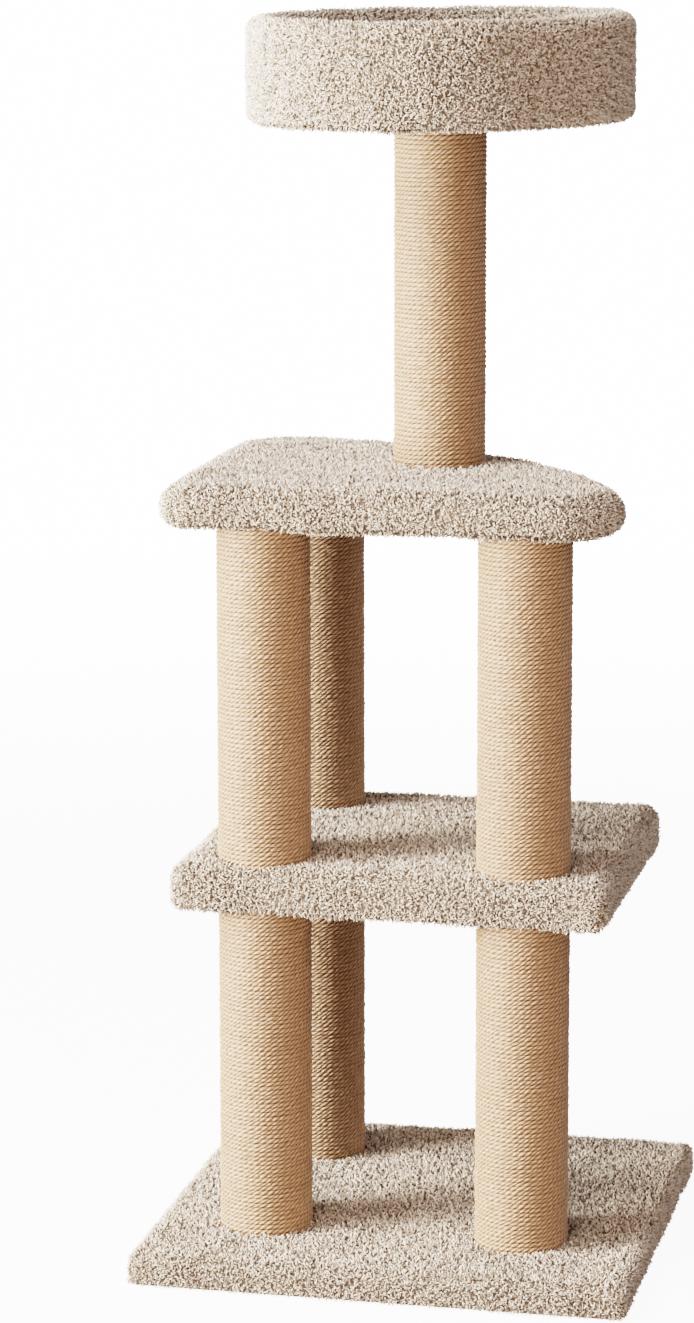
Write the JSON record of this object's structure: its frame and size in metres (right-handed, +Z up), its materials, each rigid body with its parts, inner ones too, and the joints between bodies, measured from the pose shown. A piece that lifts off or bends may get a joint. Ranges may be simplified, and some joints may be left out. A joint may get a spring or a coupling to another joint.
{
  "type": "cat tree",
  "caption": "Tall cat tree: square carpeted base, rectangular carpeted shelf, fan-shaped carpeted perch and round carpeted bed on sisal-wrapped posts.",
  "frame": {"origin": "centre of the base's underside, on the floor", "axes": "+Z up, +X to the right, front towards -Y"},
  "size_m": [0.558, 0.541, 1.3779],
  "materials": {
    "carpet": "cut pile carpet of twisted oatmeal yarn, soft and matte",
    "sisal": "natural three-strand twisted sisal rope, tightly wound, matte with a faint straw sheen",
    "cardboard": "spiral-wound cardboard tube",
    "plywood": "raw sanded plywood",
    "steel": "zinc-plated steel"
  },
  "bodies": {
    "root": {"base_carpet": "carpet", "base_board": "plywood", "mid_carpet": "carpet", "mid_underside_carpet": "carpet", "mid_board": "plywood", "top_carpet": "carpet", "top_underside_carpet": "carpet", "top_board": "plywood", "bed_wrap_carpet": "carpet", "bed_floor_carpet": "carpet", "bed_underside_carpet": "carpet", "bed_hoop": "plywood", "bed_floor_board": "plywood", "base_bolts": "steel", "mid_studs": "steel", "top_bolts": "steel", "bed_post_bolts": "steel", "bolt_washers": "steel", "tee_nuts": "steel", "hoop_screws": "steel", "base_staples": "steel", "rope_staples": "steel", "lower_front_left_rope": "sisal", "lower_front_left_core": "cardboard", "lower_front_left_foot_plug": "plywood", "lower_front_left_head_plug": "plywood", "lower_front_right_rope": "sisal", "lower_front_right_core": "cardboard", "lower_front_right_foot_plug": "plywood", "lower_front_right_head_plug": "plywood", "lower_rear_left_rope": "sisal", "lower_rear_left_core": "cardboard", "lower_rear_left_foot_plug": "plywood", "lower_rear_left_head_plug": "plywood", "upper_front_left_rope": "sisal", "upper_front_left_core": "cardboard", "upper_front_left_foot_plug": "plywood", "upper_front_left_head_plug": "plywood", "upper_front_right_rope": "sisal", "upper_front_right_core": "cardboard", "upper_front_right_foot_plug": "plywood", "upper_front_right_head_plug": "plywood", "upper_rear_left_rope": "sisal", "upper_rear_left_core": "cardboard", "upper_rear_left_foot_plug": "plywood", "upper_rear_left_head_plug": "plywood", "bed_post_rope": "sisal", "bed_post_core": "cardboard", "bed_post_foot_plug": "plywood", "bed_post_head_plug": "plywood"}
  },
  "joints": []
}
